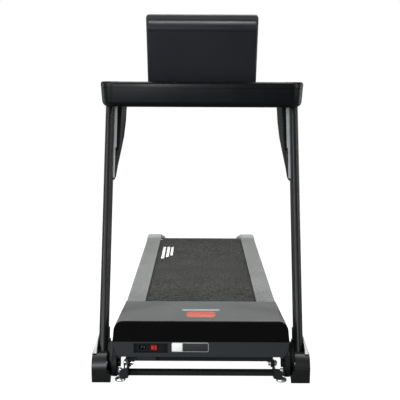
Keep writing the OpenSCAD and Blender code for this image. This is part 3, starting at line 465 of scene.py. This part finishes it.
# ---------------------------------------------------------------- console bar, handrails and console
def make_console_bar():
    """C-shaped bar with a rounded lower edge, a lid seam and a rounded top."""
    corner, inner_corner, arm_end, arm_in, depth = 55, 20, 440, 312, 58
    half = [*arc(BAR_HALF - corner, BAR_FRONT + corner, corner, -90, 0, 12), (BAR_HALF, arm_end),
            (arm_in, arm_end),
            *arc(arm_in - inner_corner, BAR_FRONT + depth + inner_corner, inner_corner, 0, -90, 6)]
    outline = half + [(-x, y) for x, y in reversed(half)]
    height = BAR_TOP - BAR_LOW
    low_r, top_r, lean = 22, 10, 7
    seam, seam_half, seam_floor_half, seam_depth = height - 23, 0.9, 0.4, 0.9
    stations = [*reversed(rim(low_r, 6)),
                (seam - seam_half, 0), (seam - seam_floor_half, seam_depth),
                (seam + seam_floor_half, seam_depth), (seam + seam_half, 0),
                *((height - t, d) for t, d in rim(top_r, 5))]
    bm = bmesh.new()
    loft(bm, [[floor_frame(x, y, BAR_LOW + z) for x, y in inset(outline, d + lean * (1 - z / height))]
              for z, d in stations])
    cover(make_piece("console_bar_skin", bm, "bar_plastic"), "console_bar")


def step_between(points, z):
    """X at height z on a line through (z, x) pairs listed from the top down."""
    for (z1, x1), (z0, x0) in zip(points, points[1:]):
        if z >= z0:
            return x0 + (x1 - x0) * min(1, (z - z0) / (z1 - z0))
    return points[-1][1]


def make_handrail(side, node):
    """Grip with a web that tapers down behind the upright, and a flank beside the upright's inner face."""
    x_in, x_out, top, flank_out = 308, 378, 1042, 336.5
    web_foot, flank_foot, below_bar, overlap = 676, 790, 0.3, 5
    inner_face = [(850, 308), (815, 311), (765, 318), (705, 328), (600, 333)]
    outer_face = [(1100, 378), (960, 375.8), (880, 368), (600, 366.8)]
    shift = UPRIGHT_DEPTH / 2 / math.cos(UPRIGHT_LEAN) + 0.6

    def upright_y(z):
        return UPRIGHT_FOOT[0] + (z - UPRIGHT_FOOT[1]) * math.tan(UPRIGHT_LEAN)

    def place(x, y, z):
        share = (x - x_in) / (x_out - x_in)
        low, high = step_between(inner_face, z), step_between(outer_face, z)
        return floor_frame(side * (low + (high - low) * share), y, z)

    def place_flank(x, y, z):
        share = (x - x_in) / (x_out - x_in)
        low = step_between(inner_face, z)
        return floor_frame(side * (low + (flank_out - low) * share), y, z)

    web = [(upright_y(web_foot) + shift, web_foot), (upright_y(BAR_LOW) + shift, BAR_LOW - below_bar),
           (441, BAR_LOW - below_bar), (441, top - 8), *arc(449, top - 8, 8, 180, 90, 3),
           *arc(600, top - 38, 38, 90, 0, 8), *arc(608, 950, 30, 0, -60, 5),
           (590, 880), (518, 820), (460, 770), (412, 716), (382, 680)]
    flank_top = BAR_LOW - 0.4
    flank = [(upright_y(flank_foot) + overlap, flank_foot), (upright_y(BAR_LOW) + overlap, flank_top),
             (500, flank_top), (440, flank_foot)]
    bm = bmesh.new()
    pillow(bm, web, x_in, x_out, 14, place, 6)
    pillow(bm, flank, x_in, x_out, 7, place_flank)
    cover(make_piece(node + "_skin", bm, "bar_plastic"), node)


def make_console_housing():
    """Shell with a groove across its back near the top and a shallow raised field below it."""
    half_width, foot, top, corner = 203.5, -14, 226, 26
    back, face, groove = 0.2, 44.8, 1.8
    outline = [(back, foot), (back, 196.4), (groove, 197), (groove, 198.6), (back, 199.2),
               *arc(corner, top - corner, corner, 180, 90, 8), (face, top), (face, foot)]
    bm = bmesh.new()
    pillow(bm, outline, -half_width, half_width, 10, console_frame, 5)
    pillow(bm, rounded_box(-178, 178, 26, 186, 10), 0.1, 2, 0, on_console, 1)
    cover(make_piece("console_housing_skin", bm, "console_plastic"), "console_housing")


# ---------------------------------------------------------------- small parts that ride a body
def make_marks():
    """Plain marks in place of the maker's: they carry no lettering."""
    for name, finish, y, half_x, half_y, corner in (("hood_mark", "mark_salmon", 128, 52, 48, 22),
                                                    ("hood_stripe", "mark_pale", 211, 70, 15, 6)):
        plate(name, finish, "deck", centred_box(0, y, half_x, half_y, corner), 0.1, 0.7, on_hood, 0.1)
    bar_front, bar_step, bar_rear, bar_low, bar_high = 1180, 34, 1450, -7.9, -7.35
    for i, (x0, x1) in enumerate(((-198, -184), (-176, -162), (-155, -143))):
        bar = rounded_box(x0, x1, bar_front + bar_step * i, bar_rear, 5)
        plate(f"belt_mark_{i}", "label_white", "deck", bar, bar_low, bar_high, on_belt, 0.1)
    left, right, low, high, border = -103, 27, 117, 151, 2
    plate("rating_plate", "strip_steel", "deck", rounded_box(left, right, low, high, 5), 1.2, 1.45, on_front, 0.1)
    for side, finish, x0, x1 in (("left", "label_white", left + border, -66),
                                 ("right", "label_dark", -64, right - border)):
        field = rounded_box(x0, x1, low + border, high - border, 3)
        plate(f"rating_field_{side}", finish, "deck", field, 1.0, 1.3, on_front, 0.05)


def make_socket_details():
    """Pins of the mains inlet, screws of the tray and marks on the rocker switch."""
    centre_z, inlet_x, switch_x, rocker_face = 130.5, -205, -165, 5.6
    for i, (dx, dz) in enumerate(((-5.5, -1.5), (5.5, -1.5), (0, 2.5))):
        pin = centred_box(inlet_x + dx, centre_z + dz, 1, 2.6, 0.6, 2)
        plate(f"inlet_pin_{i}", "pin_brass", "deck", pin, 12, 30.5, on_front, 0.5)
    for i, x in enumerate((-234, -118)):
        for z in (centre_z - 15, centre_z + 15):
            head = centred_box(x, z, 1.4, 1.4, 1.3)
            plate(f"tray_screw_{i}_{int(z)}", "screw_black", "deck", head, 1.9, 2.6, on_front, 0.3)

    def on_rocker(y, x, z):
        return floor_frame(x, y + rocker_face, z)

    bar = centred_box(switch_x + 5.8, centre_z, 0.6, 3.5, 0.4, 2)
    plate("rocker_bar", "mark_salmon", "rocker_switch", bar, 0.0, 1.2, on_rocker, 0.1)
    ring = centred_box(switch_x - 6, centre_z, 2, 2.2, 1.9)
    plate("rocker_ring", "mark_salmon", "rocker_switch", ring, 2.0, 2.9, on_rocker, 0.1)


def make_button_marks():
    """Plain marks on the console's buttons, and the fields behind its display window."""
    face, height, start_x, speed_x = 57.3, 62, 60, 130
    low, high, cross_high = 2.3, 2.65, 2.62

    def on_button(y, x, z):
        return console_frame(x, face + y, z)

    for body, name, x, half_x, half_z, top in (("start_button", "mark_start", -start_x, 1.3, 4.5, high),
                                               ("stop_button", "mark_stop", start_x, 3.6, 3.6, high),
                                               ("speed_up_button", "mark_up", speed_x, 1, 4.5, high),
                                               ("speed_down_button", "mark_down", -speed_x, 4.5, 1, high),
                                               ("speed_up_button", "mark_up_cross", speed_x, 4.5, 1, cross_high)):
        bar = centred_box(x, height, half_x, half_z, 0.6, 2)
        plate(name, "label_white", body, bar, low, top, on_button, 0.05)
    for i, x in enumerate((-88, 0, 88)):
        field = rounded_box(x - 36, x + 36, 134, 198, 4)
        plate(f"display_field_{i}", "key_grey", "base", field, -4, -0.35, on_button, 0.05)


# ---------------------------------------------------------------- assembly
PLAIN_EDGE = 0.8
EDGE = {"base_cover_left": 4, "base_cover_right": 4, "side_fins": 2.5, "inner_covers": 2.2, "hood_cover": 2.2,
        "front_panel": 3.2, "lower_panel": 2.2, "end_cap_left": 3, "end_cap_right": 3, "console_face": 2.5,
        "rocker_switch": 0.5, "running_belt": 0.3, "pulse_sensors": 0.7, "safety_key": 1.6, "rear_feet": 2,
        "side_rail_left": 0.3, "side_rail_right": 0.3, "wheel_left": 1, "wheel_right": 1, "levelling_feet": 0.5}

smooth_group = angle_group()
make_camera()
make_materials()
make_stage()
slot_of = {part["node"]: part["material_slot"] for part in frame["record"]["subparts"]}
for node, obj in frame["nodes"].items():
    obj.data.materials.clear()
    obj.data.materials.append(FINISH[slot_of[node]])
    soften(node, EDGE.get(node, PLAIN_EDGE))
make_console_bar()
make_handrail(-1, "handrail_left")
make_handrail(1, "handrail_right")
make_console_housing()
make_marks()
make_socket_details()
make_button_marks()
